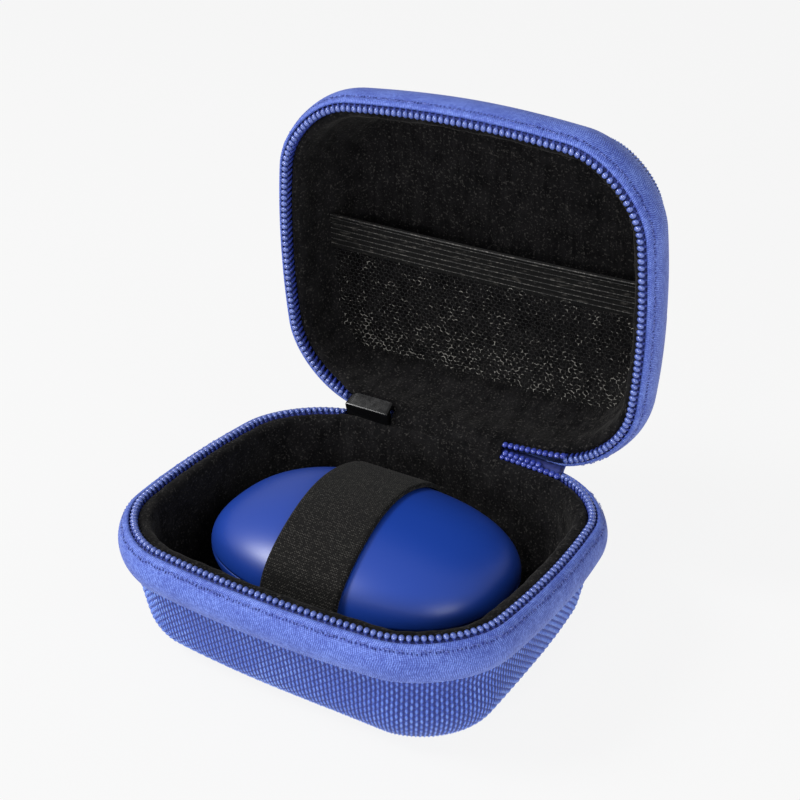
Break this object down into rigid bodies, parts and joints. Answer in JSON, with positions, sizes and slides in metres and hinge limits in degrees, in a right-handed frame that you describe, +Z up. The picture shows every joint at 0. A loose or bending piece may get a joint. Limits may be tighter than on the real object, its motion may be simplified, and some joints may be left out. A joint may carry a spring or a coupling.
{
  "type": "zip clamshell carrying case for wireless earphones",
  "caption": "Small hard-moulded zip clamshell case with fabric hinge, net pocket in the lid and elastic strap holding a pebble-shaped charging case.",
  "frame": {"origin": "centre of the base's flat underside: midway across the width and midway across the depth of the rim, at the bottom of the outer cover", "axes": "+Z up, +X to the right along the hinge seen from the front, +Y to the rear, where the hinge is; the lid is drawn standing open"},
  "size_m": [0.1, 0.1072, 0.1107],
  "materials": {
    "weave": "coarse basket-weave nylon, blue",
    "tape": "smooth twill zipper tape, blue",
    "teeth": "moulded nylon coil, blue, semi-gloss",
    "velour": "brushed velour, black",
    "foam": "closed-cell EVA foam, dark grey",
    "elastic": "knitted elastic, black",
    "slider_metal": "gloss black enamel on die-cast zinc",
    "case_plastic": "satin blue moulded plastic"
  },
  "bodies": {
    "base": {"base_foam_core": "foam", "base_outer_cover": "weave", "base_lining": "velour", "base_zipper_tape": "tape", "base_zipper_teeth": "teeth", "hinge_outer_panel": "tape", "hinge_inner_lining": "velour", "chain_end_section": "teeth", "elastic_strap": "elastic", "strap_front_tack": "elastic", "strap_rear_tack": "elastic"},
    "lid": {"lid_foam_core": "foam", "lid_outer_cover": "weave", "lid_lining": "velour", "lid_zipper_tape": "tape", "lid_zipper_teeth": "teeth", "pocket_mesh": "elastic", "pocket_elastic_band": "elastic"},
    "slider": {"slider_body": "slider_metal", "slider_bail": "slider_metal"},
    "pull": {"pull_tab": "slider_metal"},
    "charging_case": {"charging_case_upper_shell": "case_plastic", "charging_case_lower_shell": "case_plastic"}
  },
  "joints": [
    {"name": "lid_hinge", "type": "hinge", "parent": "base", "child": "lid", "pos_m": [0, 0.0389, 0.0295], "axis": [-1, 0, 0], "range_deg": [-87, 13], "deforming": ["hinge_outer_panel", "hinge_inner_lining", "chain_end_section"]},
    {"name": "slider_travel", "type": "slide", "parent": "base", "child": "slider", "axis": [-0.9963, -0.0865, 0], "range_m": [0, 0.006]},
    {"name": "pull_swing", "type": "hinge", "parent": "slider", "child": "pull", "pos_m": [-0.022, 0.04369, 0.029], "axis": [1, 0, 0], "range_deg": [0, 28]},
    {"name": "charging_case_lift", "type": "slide", "parent": "base", "child": "charging_case", "axis": [0, 0, 1], "range_m": [0, 0.01], "deforming": ["elastic_strap"]}
  ]
}
